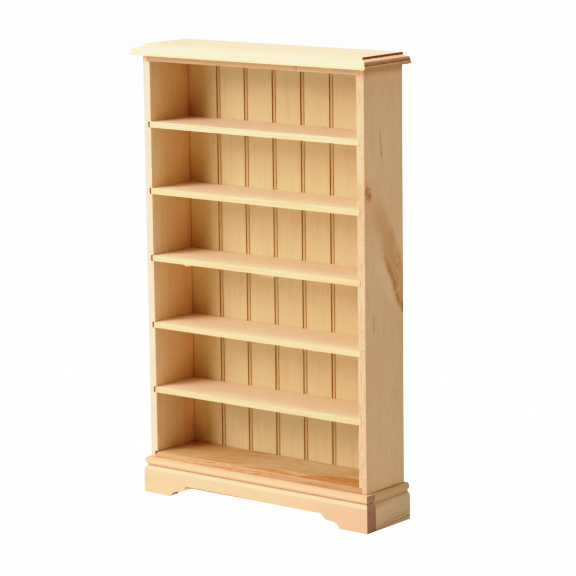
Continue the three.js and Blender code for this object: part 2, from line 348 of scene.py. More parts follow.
# ============================================================ wood
def wood(node, grain, seed, base, dark, figure, heart, ring=0.25, pitch=2.2, streak=0.30,
         fine=0.22, dash=0.10, curl=0.05, blotch=0.25, end=(0.72, 0.6, 0.5), rough=0.62,
         wander=2.0):
    """Sawn and sanded wood, coloured from base to dark.
    grain, seed: axis the grain runs along, and which piece of the noise is used
    figure: function that adds the board's own marks
    heart: middle of the tree across the grain, in mm, so the rings cut the faces
    ring, pitch, wander: strength and spacing of the rings, and how far they wander
    streak, fine, dash, curl, blotch: strength of broad and fine fibres, pores, cross
        ripple and cloudiness
    end, rough: tint of the end grain, and roughness"""
    material = new_material("wood_" + node)
    material.diffuse_color = (*base, 1.0)
    board = Board()
    x, y, z = board.x, board.y, board.z
    along, across, depth = {"x": (x, y, z), "y": (y, x, z), "z": (z, x, y)}[grain]
    end_normal = {"x": board.nx, "y": board.ny, "z": board.nz}[grain]
    shift = seed * 17.31

    # growth rings, wandering slowly along the board
    slow = along * 0.018
    wander_a = (noise(along * 0.018 + shift, across * 0.05, depth * 0.05 + shift) - 0.5)
    wander_a = wander_a * (wander * 5.0)
    wander_b = (noise(along * 0.018 - shift, across * 0.05 + 9.1, depth * 0.05) - 0.5)
    wander_b = wander_b * (wander * 5.0)
    radius = distance(across - heart[0] + wander_a, depth - heart[1] + wander_b)
    ripple = noise(along * 0.05 + shift, across * 0.5, depth * 0.5, detail=3.0)
    radius = radius + (ripple - 0.5) * 0.9
    phase = maths("FRACT", radius / pitch)
    late = maths("POWER", phase, 2.2) * fall(phase, 0.93, 1.0)
    uneven = noise(radius * 0.35 + shift, along * 0.01, 3.3, detail=1.0)
    late = late * ramp(uneven, 0.3, 0.7, lo=0.35)

    # fibres drawn out along the grain, from coarse to fine, then clouds, ripple and pores
    coarse = noise(along * 0.030 + shift, across * 0.75, depth * 0.75 + shift,
                   detail=3.0, rough=0.55)
    medium = noise(along * 0.10 + shift, across * 4.2, depth * 4.2 - shift,
                   detail=3.0, rough=0.6)
    hair = noise(along * 0.45 - shift, across * 9.0, depth * 9.0 + shift, rough=0.6)
    cloud = noise(along * 0.022 + shift, across * 0.09 + shift, depth * 0.09)
    cross = noise(along * 0.75 + shift, across * 0.22, depth * 0.22 + shift, rough=0.55)
    pores = noise(along * 0.28 + shift, across * 3.6, depth * 3.6 + shift * 2.0,
                  detail=1.0, rough=0.4)
    pores = ramp(pores, 0.66, 0.76)
    darkness = (late * ring + (coarse - 0.5) * streak * 2.0 + (medium - 0.5) * fine * 2.0
                + (hair - 0.5) * fine * 0.8 + (cloud - 0.5) * blotch * 2.0
                + (cross - 0.5) * curl * 2.0)
    board.colour = mix(clamp(darkness + 0.30), base, dark)
    board.tint(pores * dash * 4.0, (0.62, 0.50, 0.36))

    # end grain is darker, with the fibre ends as dots
    is_end = ramp(abs(end_normal), 0.55, 0.85)
    dots = noise(along * 0.4, across * 6.0 + shift, depth * 6.0, rough=0.6)
    ends = mix(1.0, board.colour, end, "MULTIPLY")
    ends = mix(ramp(dots, 0.42, 0.68) * 0.55, ends, (0.74, 0.64, 0.52), "MULTIPLY")
    board.paint(is_end * 1.0, ends)

    board.height = ((medium - 0.5) * 0.010 + (hair - 0.5) * 0.009 + (coarse - 0.5) * 0.006
                    - pores * 0.012 + is_end * (dots - 0.5) * 0.03 + (cross - 0.5) * 0.008)
    board.rough = (medium - 0.5) * 0.16 + (cloud - 0.5) * 0.08 + is_end * 0.12 + rough
    figure(board)

    # handled arrises: a trace paler and smoother than the faces
    marked = new("ShaderNodeAttribute")
    marked.attribute_type = "GEOMETRY"
    marked.attribute_name = "arris"
    arris = Value(marked.outputs["Fac"])
    board.tint(arris * ramp(coarse, 0.35, 0.6), (1.03, 1.02, 0.99))
    bump = new("ShaderNodeBump")
    bump.inputs["Strength"].default_value = 0.55
    bump.inputs["Distance"].default_value = MM
    plug(board.height, bump.inputs["Height"])
    shader = new("ShaderNodeBsdfPrincipled")
    plug(board.colour, shader.inputs["Base Color"])
    plug(board.rough - arris * 0.10, shader.inputs["Roughness"])
    shader.inputs["IOR"].default_value = 1.45
    shader.inputs["Specular IOR Level"].default_value = 0.45
    plug(Value(bump.outputs[0]), shader.inputs["Normal"])
    plug(Value(shader.outputs[0]), new("ShaderNodeOutputMaterial").inputs[0])
    return material


def dress(ob, material):
    ob.data.materials.clear()
    ob.data.materials.append(material)


def front_face(board):
    return ramp(board.ny, -0.4, -0.8)


# ============================================================ sides
def front_mottle(board, amount):
    """Sawn front edge of a side: a small mottle of pale and pinkish fibres."""
    x, z = board.x, board.z
    front = front_face(board)
    mottle = noise(x * 1.5, z * 0.95, 4.0, detail=3.0, rough=0.65)
    fibre = noise(x * 1.1, z * 0.16, 9.0)
    board.tint(front * amount, (1.04, 0.98, 1.12))
    board.tint(front * ramp(mottle, 0.46, 0.60) * amount, (0.93, 0.82, 0.74))
    board.tint(front * ramp(fibre, 0.48, 0.64) * amount * 0.8, (0.95, 0.84, 0.76))
    board.height = board.height + front * amount * (mottle - 0.5) * 0.05


def heartwood_band(board, warp, fine_warp):
    """Slanting band of heartwood, falling to the rear, and the marks round it."""
    y, z = board.y, board.z
    # measured back from the band's sharp front edge
    back = (y + 4.1) + (z - 115.0) * 0.484 + warp * 2.6 + fine_warp * 0.9
    sharp = ramp(z, 112.0, 98.0)
    soft_edge = ramp(back, -2.6, 4.6)
    band = soft_edge + (ramp(back, -0.7, 0.7) - soft_edge) * sharp
    band = band * fall(back + warp * 3.0, 8.0, 11.5)
    band = band * fall(z + warp * 6.0, 115.0, 130.0) * ramp(z, 80.0, 86.0)
    lines = noise(back * 1.1 + 3.0, z * 0.035, 1.0, detail=3.0, rough=0.6)
    board.tint(band * ramp(lines, 0.30, 0.70, lo=0.6), (0.81, 0.66, 0.50))
    core = bell(back, 0.9, half=0.6, soft=1.3) * ramp(z, 106.0, 97.0) * ramp(z, 81.0, 85.0)
    blobs = noise(y * 0.55, z * 0.40, 3.0, rough=0.55)
    board.tint(core * ramp(blobs, 0.35, 0.60, lo=0.25), (0.78, 0.62, 0.50))
    # reddish flush round the knot, and the pale wedge in front of the band
    flush = bell(z, 124.0, half=6.0, soft=9.0) * ramp(y, 2.0, -6.0)
    board.tint(flush * 0.55, (0.95, 0.86, 0.78))
    wedge = ramp(back, -7.5, -4.5) * ramp(back, -0.9, -2.0)
    wedge = wedge * ramp(z, 82.0, 88.0) * ramp(z, 106.0, 99.0)
    board.tint(wedge * 0.9, (1.07, 1.10, 1.15))
    # the eye in the band, and the light check below it
    eye = distance((y - 9.5) / 0.95, (z - 101.6) / 1.6) + fine_warp * 0.4
    board.tint(ramp(eye, 1.0, 0.5) * 0.8, (1.18, 1.24, 1.24))
    board.tint(bell(eye, 1.35, half=0.12, soft=0.3) * 0.4, (0.84, 0.72, 0.60))
    check = bell(z - 89.9 - (y - 9.4) * 0.44, 0.0, half=0.22, soft=0.35)
    check = check * bell(y, 9.4, half=1.4, soft=0.7)
    board.tint(check * 0.8, (1.30, 1.42, 1.60))
    # dark spot on the rear arris
    spot = distance((y - 13.2) / 1.3, (z - 83.4) / 2.9)
    spot = fall(spot + fine_warp * 0.5, 0.25, 1.05)
    board.paint(spot * 0.85, (0.20, 0.085, 0.035))


def pin_knot(board):
    """Small oval knot; distances are in shares of its half width and half height."""
    y, z = board.y, board.z
    off_y = (y + 8.5 + (z - 129.0) * 0.12) / 1.75
    off_z = (z - 129.2) / 2.75
    ragged = noise(y * 0.8, z * 0.6, 21.0, rough=0.6) - 0.5
    from_knot = distance(off_y, off_z) + ragged * 0.9
    rings = noise(y * 1.1, z * 0.9, 5.0, rough=0.6)
    knot = ramp(from_knot, 1.08, 0.80)
    from_pith = maths("SQRT", (off_y - 0.2) * (off_y - 0.2) * 2.0
                      + (off_z - 0.25) * (off_z - 0.25) * 3.0)
    pith = ramp(from_pith, 0.75, 0.25)
    board.tint(knot * ramp(rings, 0.35, 0.60, lo=0.62) * (pith * -0.6 + 1.0),
               (0.68, 0.50, 0.38))
    spots = ramp(noise(y * 1.0 + 4.0, z * 0.75, 9.0), 0.52, 0.66) * knot
    board.tint(spots * 0.8, (0.74, 0.60, 0.48))
    rim = bell(from_knot, 0.85, half=0.07, soft=0.16) * ramp(rings, 0.40, 0.60)
    board.tint(rim * 0.8, (0.78, 0.66, 0.54))
    halo = bell(from_knot, 1.35, half=0.2, soft=0.7)
    board.tint(halo * 0.30, (0.92, 0.80, 0.68))


def pitch_streaks(board):
    y, z = board.y, board.z
    upper = bell(y + 0.35 + (z - 147.0) * 0.07, 0.0, half=0.16, soft=0.40)
    upper = upper * bell(z, 147.0, half=4.0, soft=3.0) * ramp(z, 156.0, 143.0, lo=0.35)
    lower = bell(y + 5.35 - (z - 80.0) * 0.03, 0.0, half=0.14, soft=0.40)
    lower = lower * bell(z, 79.6, half=2.2, soft=2.0) * 0.75
    faint = bell(y + 5.9, 0.0, half=0.2, soft=0.5) * bell(z, 150.0, half=6.0, soft=4.0) * 0.25
    board.tint(clamp(upper + lower + faint), (0.68, 0.58, 0.48))


def right_figure(board):
    """Right side: heartwood, a pin knot and pitch streaks on a faint wavy figure, with painted
    shade under the top.
    """
    y, z = board.y, board.z
    warp = noise(y * 0.30, z * 0.12, 2.2, detail=3.0, rough=0.55) - 0.5
    fine_warp = noise(y * 1.2, z * 0.4, 7.7) - 0.5
    heartwood_band(board, warp, fine_warp)
    pin_knot(board)
    pitch_streaks(board)
    board.tint(ramp(z, 125.0, 70.0) * ramp(board.nx, 0.3, 0.8), (0.93, 0.925, 0.90))
    wave = noise(y * 0.9 + warp * 2.0, z * 0.11, 12.0, detail=3.0, rough=0.55)
    board.tint(ramp(wave, 0.48, 0.70) * 0.45, (0.93, 0.88, 0.82))
    board.tint(ramp(wave, 0.46, 0.30) * 0.4, (1.05, 1.06, 1.07))
    # painted shade under the top's overhang: a reddish darkening below it, and a painted
    # shadow line just beneath it
    under = ramp(z, 164.0, 175.0) * ramp(board.nx, 0.3, 0.8) * ramp(y, 10.0, -8.0, lo=0.5)
    board.tint(under, (0.97, 0.915, 0.885))
    overhang_shadow_line = ramp(z + warp * 1.2, 171.4, 175.6) * ramp(board.nx, 0.3, 0.8)
    board.tint(overhang_shadow_line, (0.68, 0.575, 0.50))
    front_mottle(board, amount=0.95)


def left_figure(board):
    """Left side: painted light and shade on its inner face, paler at the front and deepening
    toward the back.
    """
    y = board.y
    inner = ramp(board.nx, 0.4, 0.8)
    # painted light toward the front of the inner face, painted shade toward the back
    board.tint(inner * ramp(y, 2.0, -12.0), (1.0, 1.07, 1.13))
    board.tint(inner * ramp(y, 0.0, 11.0), (1.06, 0.99, 0.95))
    wave = noise(y * 0.5, board.z * 0.05, 4.0, detail=3.0, rough=0.55)
    board.tint(inner * ramp(wave, 0.45, 0.65) * 0.5, (0.96, 0.91, 0.85))
    # painted highlight: the front edge made paler and bluer, as if washed out by the light
    board.tint(front_face(board), (1.20, 1.14, 1.36))
    front_mottle(board, amount=0.22)


def side(node, sign, material):
    """Side housed for the shelves, bottom shelf and sub-top, and rebated for the panel."""
    lo, hi = box(node)
    x_in = min(abs(lo[0]), abs(hi[0]))
    x_out = max(abs(lo[0]), abs(hi[0]))
    x_housing = x_in + HOUSING
    x_rebate = x_in + REBATE
    y_front, y_rear = lo[1], hi[1]
    y_rebate = PANEL_FRONT - 0.01
    z_foot, z_head = lo[2], hi[2]
    # inner face seen from the front, from the foot up
    z = box("bottom_shelf")[1][2] + GLUE
    contour = [(x_housing, z_foot), (x_housing, z), (x_in, z)]
    for shelf_node in reversed(SHELVES):
        shelf_lo, shelf_hi = box(shelf_node)
        low, high = shelf_lo[2] - GLUE, shelf_hi[2] + GLUE
        contour += [(x_in, low), (x_housing, low), (x_housing, high), (x_in, high)]
    z = box("sub_top")[0][2] - GLUE
    contour += [(x_in, z), (x_housing, z), (x_housing, z_head)]

    count = len(contour)
    front = list(range(count))
    rear = list(range(count, 2 * count))
    (front_head, front_foot, rebate_foot, rebate_head, inner_foot, inner_head,
     outer_head, outer_foot) = range(2 * count, 2 * count + 8)
    verts = [(sign * x, y, z) for y in (y_front, y_rebate) for x, z in contour]
    verts += [(sign * x, y, z) for x, y, z in (
        (x_out, y_front, z_head), (x_out, y_front, z_foot),
        (x_rebate, y_rebate, z_foot), (x_rebate, y_rebate, z_head),
        (x_rebate, y_rear, z_foot), (x_rebate, y_rear, z_head),
        (x_out, y_rear, z_head), (x_out, y_rear, z_foot))]
    faces = [tuple(front + [front_head, front_foot])]
    faces += [(front[i], front[i + 1], rear[i + 1], rear[i]) for i in range(count - 1)]
    faces += [
        tuple(rear + [rebate_head, rebate_foot]),
        (rebate_foot, rebate_head, inner_head, inner_foot),
        (inner_foot, inner_head, outer_head, outer_foot),
        (front_foot, front_head, outer_head, outer_foot),
        (front[0], front_foot, outer_foot, inner_foot, rebate_foot, rear[0]),
        (front[-1], front_head, outer_head, inner_head, rebate_head, rear[-1]),
    ]

    def exposed(a, b):
        """Edges of the outer face, and the front arrises between the housings."""
        def both(axis, value):
            return all(abs(abs(p[axis]) - abs(value)) < 1e-3 for p in (a, b))
        at_front = abs(a.y - y_front) < 1e-3 and abs(b.y - y_front) < 1e-3
        return (both(0, x_in) and abs(a.z - b.z) > 3.0 and at_front) or both(0, x_out)

    ob = build(node, "side_wood", verts, faces, [(exposed, 0.16, 3), (every, 0.035, 1)])
    dress(ob, material)


side("side_right", 1, wood(
    "side_right", grain="z", seed=3.0, base=(0.735, 0.49, 0.27), dark=(0.64, 0.385, 0.185),
    figure=right_figure, heart=(58.0, -40.0), ring=0.18, pitch=2.6, streak=0.22, fine=0.26,
    curl=0.10, blotch=0.30))
side("side_left", -1, wood(
    "side_left", grain="z", seed=5.0, base=(0.77, 0.525, 0.29), dark=(0.69, 0.42, 0.205),
    figure=left_figure, heart=(-60.0, 36.0), ring=0.16, pitch=2.4, streak=0.20, fine=0.24,
    dash=0.08, curl=0.10, blotch=0.28))


# ============================================================ shelves
def shelf_edge(board, tone):
    """Sawn front edge of a shelf: its own tone, with darker lines running along it."""
    front = front_face(board)
    broad = noise(board.x * 0.035, board.z * 1.6, 2.0)
    thin = noise(board.x * 0.11, board.z * 3.4, 6.0)
    board.tint(front, tone)
    board.tint(front * ramp(broad, 0.47, 0.62) * 0.8, (0.93, 0.82, 0.70))
    board.tint(front * ramp(thin, 0.50, 0.66) * 0.5, (0.92, 0.80, 0.68))


def oval_stain(board):
    """Faint stain right of the middle, toward the front."""
    x, y = board.x, board.y
    warp = noise(x * 0.12, y * 0.3, 1.0, detail=3.0) - 0.5
    from_stain = distance((x - 23.5) / 7.0, (y + 5.6) / 1.8)
    board.tint(fall(from_stain + warp * 1.2, 0.4, 1.2) * 0.35, (0.90, 0.74, 0.55))


# Raised fibres: x of the start and end, and how far the middle hangs.
SPLINTERS = [
    (-35.2, -31.4, 0.52), (-34.2, -30.6, 0.36), (-33.6, -32.0, 0.62), (1.8, 6.1, 0.36),
    (4.0, 9.0, 0.72), (6.4, 10.9, 0.60), (8.6, 11.8, 0.32), (-8.7, -6.7, 0.22),
    (20.3, 22.5, 0.20),
]
rng = random.Random(11)


def splinters(bm):
    """Fibres left by the saw along the lower front edge of shelf_3."""
    lo, _ = box("shelf_3")
    steps, sides = 8, 5
    for start, end, drop in SPLINTERS:
        rings = []
        for i in range(steps + 1):
            t = i / steps
            sag = math.sin(math.pi * t ** 1.3) * drop
            radius = 0.02
            if t < 0.85:
                radius += 0.115 * math.sin(math.pi * min(1.0, t * 1.15 + 0.02)) ** 0.7
            centre = Vector((start + (end - start) * t,
                             lo[1] + 0.13 + rng.uniform(-0.02, 0.02), lo[2] + 0.10 - sag))
            ring = []
            for k in range(sides):
                angle = 2 * math.pi * k / sides
                offset = Vector((0, math.cos(angle) * radius, math.sin(angle) * radius * 0.8))
                ring.append(bm.verts.new((centre + offset) * MM))
            rings.append(ring)
        for p, q in zip(rings, rings[1:]):
            for k in range(sides):
                j = (k + 1) % sides
                bm.faces.new((p[k], p[j], q[j], q[k]))
        bm.faces.new(tuple(reversed(rings[0])))
        bm.faces.new(tuple(rings[-1]))


def shelf(i, node):
    """Shelf whose left end is rounded over."""
    round_low, round_high, base, dark, tone = SHELVES[node]
    lo, hi = box(node)
    outline = rounded_rect(lo, hi, (round_low, 0.15, 0.18, round_high))
    ob = build(node, "shelf_wood", *prism(outline, "y", lo[1], hi[1]), [(every, 0.14, 3)],
               splinters if node == "shelf_3" else None)

    def figure(board):
        shelf_edge(board, tone)
        if node == "shelf_5":
            oval_stain(board)

    dress(ob, wood(node, grain="x", seed=11.0 + i * 3.7, base=base, dark=dark, figure=figure,
                   heart=(-6.0 + 4.0 * i, lo[2] - 24.0 - 5.0 * i), ring=0.16, pitch=2.0,
                   streak=0.24, fine=0.24, dash=0.09, curl=0.04, blotch=0.28))


for i, node in enumerate(SHELVES):
    shelf(i, node)


# ============================================================ sub-top
def sub_top_figure(board):
    """A dark joint line across the front edge."""
    joint = bell(board.x, 22.3, half=0.10, soft=0.18) * ramp(board.ny, -0.3, -0.7)
    board.tint(joint * 0.8, (0.45, 0.30, 0.18))


def sub_top():
    lo, hi = box("sub_top")
    outline = rounded_rect(lo, (hi[0] + 0.08, hi[1], hi[2]), [0.1] * 4)
    ob = build("sub_top", "shelf_wood", *prism(outline, "y", lo[1], hi[1]),
               [(every, 0.10, 2)])
    # The sub-top's wood is darker than the rest: partly its own tone, partly painted shadow
    # from the top's overhang.
    dress(ob, wood("sub_top", grain="x", seed=31.0, base=(0.62, 0.395, 0.215),
                   dark=(0.54, 0.315, 0.155), figure=sub_top_figure, heart=(0.0, 140.0)))


sub_top()


# ============================================================ bottom shelf
def heartwood_tongues(board):
    """Top face: orange heartwood in long tongues, strongest at the right front."""
    x, y = board.x, board.y
    warp = noise(x * 0.05, y * 0.25, 6.1, detail=3.0, rough=0.55) - 0.5
    fine_warp = noise(x * 0.25, y * 1.3, 2.1, detail=3.0, rough=0.6) - 0.5
    slant = y - maths("MINIMUM", x - 8.0, 0.0) * 0.25
    lines = noise(x * 0.03, (slant + warp * 5.0) * 1.1, 1.0, detail=3.0, rough=0.6)
    fibre = noise(x * 0.05, (slant + warp * 5.0) * 3.6, 4.0)
    top = ramp(board.nz, 0.5, 0.8)
    board.tint(top * ramp(lines, 0.44, 0.62), (0.85, 0.68, 0.50))
    board.tint(top * ramp(fibre, 0.50, 0.66) * 0.65, (0.85, 0.70, 0.54))
    board.tint(top * ramp(x, 10.0, -25.0), (0.95, 0.88, 0.81))
    board.tint(top * bell(x, 10.0, half=14.0, soft=12.0) * ramp(y, -9.0, -3.0),
               (1.02, 1.13, 1.22))
    # red-brown streak near the left front, and painted shade darkening the left rear corner
    streak = bell(slant + warp * 3.0 + 1.9, 0.0, half=0.35, soft=0.8)
    streak = streak * ramp(x, -30.0, -20.0) * ramp(x, -6.0, -13.0)
    board.tint(top * streak * 0.95, (0.76, 0.54, 0.36))
    corner = ramp(x, -18.0, -46.0) * ramp(y, 0.0, 9.0)
    board.tint(top * corner, (0.94, 0.82, 0.70))
    # a low tongue along the middle of the front edge
    off = (x - 8.0) / 14.0
    low = y + 10.8 - (1.0 - off * off) * 4.0 + fine_warp * 1.4 + warp * 1.2
    tongue = ramp(low, 0.35, -0.45) * ramp(x, -8.0, -4.0) * ramp(x, 22.0, 18.0)
    board.tint(top * tongue, (0.95, 0.74, 0.50))
    rim = bell(low, 0.0, half=0.15, soft=0.5) * 1.0 if False else None
    board.tint(top * bell(low, 0.0, half=0.15, soft=0.5) * ramp(x, -9.0, -4.0)
               * ramp(x, 12.0, 2.0), (0.84, 0.66, 0.50))
    # the large tongue that opens to the right-hand end
    edge = maths("EXPONENT", (x - 18.7) * -0.105) * -10.5 - 0.3
    inside = y - edge + fine_warp * 1.3 + warp * 1.6
    large = ramp(inside, 0.45, -0.5) * ramp(x, 17.0, 24.0)
    board.tint(top * large * ramp(lines, 0.25, 0.65, lo=0.88), (0.84, 0.55, 0.35))
    board.tint(top * bell(inside, -0.6, half=0.5, soft=0.9) * ramp(x, 18.0, 24.0) * 0.55,
               (0.88, 0.74, 0.60))


def bottom_shelf_figure(board):
    heartwood_tongues(board)
    # the front edge shows short curly flecks, dark and light
    x, z = board.x, board.z
    front = front_face(board)
    flecks = noise(x * 0.17, z * 1.3 - x * 0.10, 3.0, detail=3.0, rough=0.6)
    where = bell(x, -13.0, half=14.0, soft=10.0) * 0.75 + 0.25
    board.tint(front * where * ramp(flecks, 0.46, 0.60), (0.86, 0.68, 0.50))
    light_flecks = noise(x * 0.33 + 8.0, z * 1.5 + x * 0.12, 5.0, rough=0.6)
    board.tint(front * where * ramp(light_flecks, 0.55, 0.66), (1.18, 1.24, 1.30))
    board.height = board.height + front * where * (flecks - 0.5) * 0.12
    foot = ramp(z, 14.62, 14.40)
    board.paint(foot * 0.7, (0.46, 0.33, 0.20))
    board.tint(front, (0.97, 0.84, 0.75))
    board.tint(front * ramp(x, -35.0, 35.0), (0.80, 0.80, 0.78))
    lines = noise(x * 0.05, z * 1.3, 14.0)
    board.tint(front * ramp(lines, 0.50, 0.62) * 0.8, (0.88, 0.76, 0.62))


def chip_corner(ob, lo, hi):
    """Cut a chip off the left front upper corner."""
    left, top = lo[0], hi[2]
    outline = [(left - 0.4, top + 0.25), (left + 2.0, top + 0.25), (left + 1.55, top - 0.30),
               (left + 0.25, top - 1.20), (left - 0.4, top - 1.30)]
    cutter = add_object("chip_cutter", solid(*prism(outline, "y", lo[1] - 0.5, lo[1] + 1.9)))
    cut = ob.modifiers.new("chip", "BOOLEAN")
    cut.operation = "DIFFERENCE"
    cut.solver = "EXACT"
    cut.object = cutter
    ob.modifiers.move(1, 0)
    bpy.context.view_layer.update()
    graph = bpy.context.evaluated_depsgraph_get()
    chipped = bpy.data.meshes.new_from_object(ob.evaluated_get(graph), depsgraph=graph)
    ob.modifiers.remove(ob.modifiers["chip"])
    ob.data = chipped
    chipped.name = "bottom_shelf_wood"
    bpy.data.objects.remove(cutter, do_unlink=True)


def bottom_shelf():
    lo, hi = box("bottom_shelf")
    outline = rounded_rect(lo, hi, [0.1] * 4)
    ob = build("bottom_shelf", "bottom_shelf_wood", *prism(outline, "y", lo[1], hi[1]),
               [(every, 0.13, 3)])
    chip_corner(ob, lo, hi)
    dress(ob, wood("bottom_shelf", grain="x", seed=41.0, base=(0.655, 0.465, 0.26),
                   dark=(0.56, 0.345, 0.155), figure=bottom_shelf_figure, heart=(4.0, -6.0),
                   ring=0.35, pitch=3.4, streak=0.34, dash=0.08, curl=0.08, blotch=0.30,
                   wander=2.6))


bottom_shelf()


# ============================================================ back panel
def panel_figure(board):
    """Dark brown grooves with ragged edges, and short dark flecks between them."""
    x, z = board.x, board.z
    # distance from the middle of the nearest pair of grooves
    off = maths("FLOORED_MODULO", x + GROOVE_PITCH * 3.0, GROOVE_PITCH) - GROOVE_PITCH * 0.5
    face = ramp(board.y, PANEL_FRONT + 0.9, PANEL_FRONT + 0.6)
    inside = fall(abs(x), 41.4, 42.2) * face
    ragged = noise(x * 1.5, z * 1.1, 2.0, detail=3.0, rough=0.65) - 0.5
    slow_ragged = noise(x * 0.7, z * 0.22, 5.0) - 0.5
    from_groove = abs(abs(off) - GROOVE_OFFSET)
    # painted shade: the left groove's dark colour is drawn wider
    widen = ramp(off, -0.2, 0.2, lo=0.15, hi=0.0)    # the left groove is wider
    groove = fall(from_groove - ragged * 0.18 - slow_ragged * 0.12 - widen, 0.05, 0.28)
    groove = groove * inside
    bead = fall(abs(off), 0.55, 0.80) * inside
    # the grooves are painted dark brown, stronger in the left groove of each pair as painted
    # shade
    groove_tone = ramp(noise(x * 0.05, z * 0.06, 8.0, detail=3.0, rough=0.6), 0.3, 0.7, lo=0.72)
    groove_tone = groove_tone * ramp(off, -0.2, 0.2, lo=1.0, hi=0.75)
    groove_tone = groove_tone * ramp(noise(x * 0.9, z * 0.015, 3.0, detail=1.0), 0.35, 0.6, lo=0.6)
    board.tint(bead, (0.90, 0.80, 0.71))
    board.paint(groove * groove_tone, (0.35, 0.135, 0.045))
    near = fall(abs(off), 0.9, 1.5) * 0.12 * inside
    board.tint(near, (0.94, 0.84, 0.68))
    # soft streaks along the sheet, front and rear
    streaks = noise(x * 0.5, z * 0.03, 17.0, detail=3.0, rough=0.55)
    board.tint(face * ramp(streaks, 0.46, 0.66) * 0.7, (0.96, 0.93, 0.87))
    rear = ramp(board.ny, 0.5, 0.8)
    board.tint(rear, (1.14, 1.02, 0.96))
    streaks = noise(x * 0.75, z * 0.012, 23.0, detail=4.0, rough=0.60)
    board.tint(rear * ramp(streaks, 0.42, 0.66) * 0.7, (0.92, 0.85, 0.76))
    # painted shade: browner toward the left edge, where the left side shades it; paler again
    # at its margin
    board.tint(ramp(x, -31.0, -45.0) * face, (0.89, 0.735, 0.585))
    board.tint(ramp(x, -43.0, -49.0) * face, (1.14, 1.15, 1.17))
    flecks = noise(x * 2.6, z * 0.42, 3.0)
    board.tint(ramp(flecks, 0.64, 0.74) * 0.5, (0.80, 0.68, 0.50))
    # dark ragged joints against the sides, and crumbs of dust and glue above each shelf
    rag = noise(1.0, z * 0.9, 7.0, detail=3.0, rough=0.7)
    joint = ramp(abs(x) - (rag - 0.5) * 0.5, 49.85, 50.05)
    board.tint(face * joint * ramp(rag, 0.35, 0.6, lo=0.35, hi=0.9), (0.42, 0.26, 0.14))
    above_shelves = 0.0
    for node in SHELVES:
        z_shelf = box(node)[1][2]
        above_shelves = bell(z, z_shelf + 0.25, half=0.1, soft=0.45) + above_shelves
    crumbs = noise(x * 1.1, z * 2.0, 11.0, detail=3.0, rough=0.7)
    board.tint(face * above_shelves * ramp(crumbs, 0.56, 0.66) * 0.8, (0.50, 0.34, 0.20))
    board.rough = board.rough + groove * 0.1


# Groove section: shares of its half width and of its depth.
GROOVE = [(-1, 0), (-0.8, 0.08), (-0.3, 0.83), (-0.12, 1),
          (0.12, 1), (0.3, 0.83), (0.8, 0.08), (1, 0)]


def back_panel():
    """One sheet with pairs of grooves down its front; the left of each pair is deeper."""
    lo, hi = box("back_panel")
    front = []
    for k in range(GROOVE_PAIRS):
        middle = (k - (GROOVE_PAIRS - 1) / 2) * GROOVE_PITCH
        for offset, half, depth in ((-GROOVE_OFFSET, 0.38, 0.50), (GROOVE_OFFSET, 0.25, 0.30)):
            centre = middle + offset
            front += [(centre + half * u, lo[1] + depth * v) for u, v in GROOVE]
            if offset < 0:
                front += [(middle - 0.2, lo[1]), (middle + 0.2, lo[1])]
    outline = [(lo[0], lo[1])] + front + [(hi[0], lo[1]), (hi[0], hi[1]), (lo[0], hi[1])]

    def rim(a, b):
        at_side = abs(a.x) > 51.0 and abs(b.x) > 51.0
        return at_side or (a.y > hi[1] - 1e-3 and b.y > hi[1] - 1e-3)

    ob = build("back_panel", "panel_wood", *prism(outline, "z", lo[2], hi[2]),
               [(rim, 0.06, 2)])
    dress(ob, wood("back_panel", grain="z", seed=53.0, base=(0.735, 0.58, 0.315),
                   dark=(0.665, 0.475, 0.228), figure=panel_figure, heart=(0.0, -60.0),
                   ring=0.05, pitch=9.0, streak=0.16, curl=0.06, blotch=0.22, rough=0.66))


back_panel()


# ============================================================ top board
def top_figure(board):
    """The cutter has scorched the moulding where it ran across the end grain."""
    x, y = board.x, board.y
    z = board.z - TOP_UNDERSIDE
    wobble = noise(y * 0.35, board.z * 2.0, 4.0) - 0.5
    mottle = noise(y * 0.5, board.z * 0.6, 1.7, detail=3.0, rough=0.6)
    from_end = 57.1 - abs(x)
    from_front = y + 14.8
    ends = ramp(from_front - from_end, -0.10, 0.10) * ramp(from_end, 4.3, 4.0)
    step = ramp(z + wobble * 0.1, 3.22, 3.38) * ramp(board.nz, 0.85, 0.6) * ends
    ledge = ramp(z, 2.86, 2.94) * fall(z, 3.31, 3.37) * ends
    curve = ramp(z, 1.00, 1.16) * fall(z, 2.84, 2.96) * ends
    fillet = ramp(z, 1.02, 0.94) * ends
    low = ramp(z, 2.7, 1.2)
    board.tint(ledge * ramp(mottle, 0.3, 0.7, lo=0.75), (0.96, 0.66, 0.60))
    board.paint(step * ramp(mottle, 0.2, 0.5, lo=0.80), (0.25, 0.092, 0.030))
    flat = ramp(board.nz, 0.80, 0.95) * ramp(z, 3.40, 3.55)
    grain = noise(x * 0.014, y * 0.85, 9.0, detail=4.0, rough=0.60)
    board.tint(ramp(z, 3.40, 3.55), (1.08, 0.985, 0.985))
    board.tint(flat * ramp(grain, 0.46, 0.60) * 0.6, (0.97, 0.90, 0.83))
    brown = mix(low, (0.44, 0.215, 0.10), (0.27, 0.118, 0.05))
    board.paint(curve * ramp(mottle, 0.25, 0.75, lo=0.80, hi=0.98), brown)
    board.tint(fillet * ramp(mottle, 0.3, 0.7, lo=0.8), (0.64, 0.58, 0.66))
    board.tint(ramp(board.ny, -0.35, -0.8) * ramp(z, 3.36, 3.28, lo=0.35),
               (1.0, 0.955, 0.80))
    board.rough = board.rough - (step + curve) * 0.14


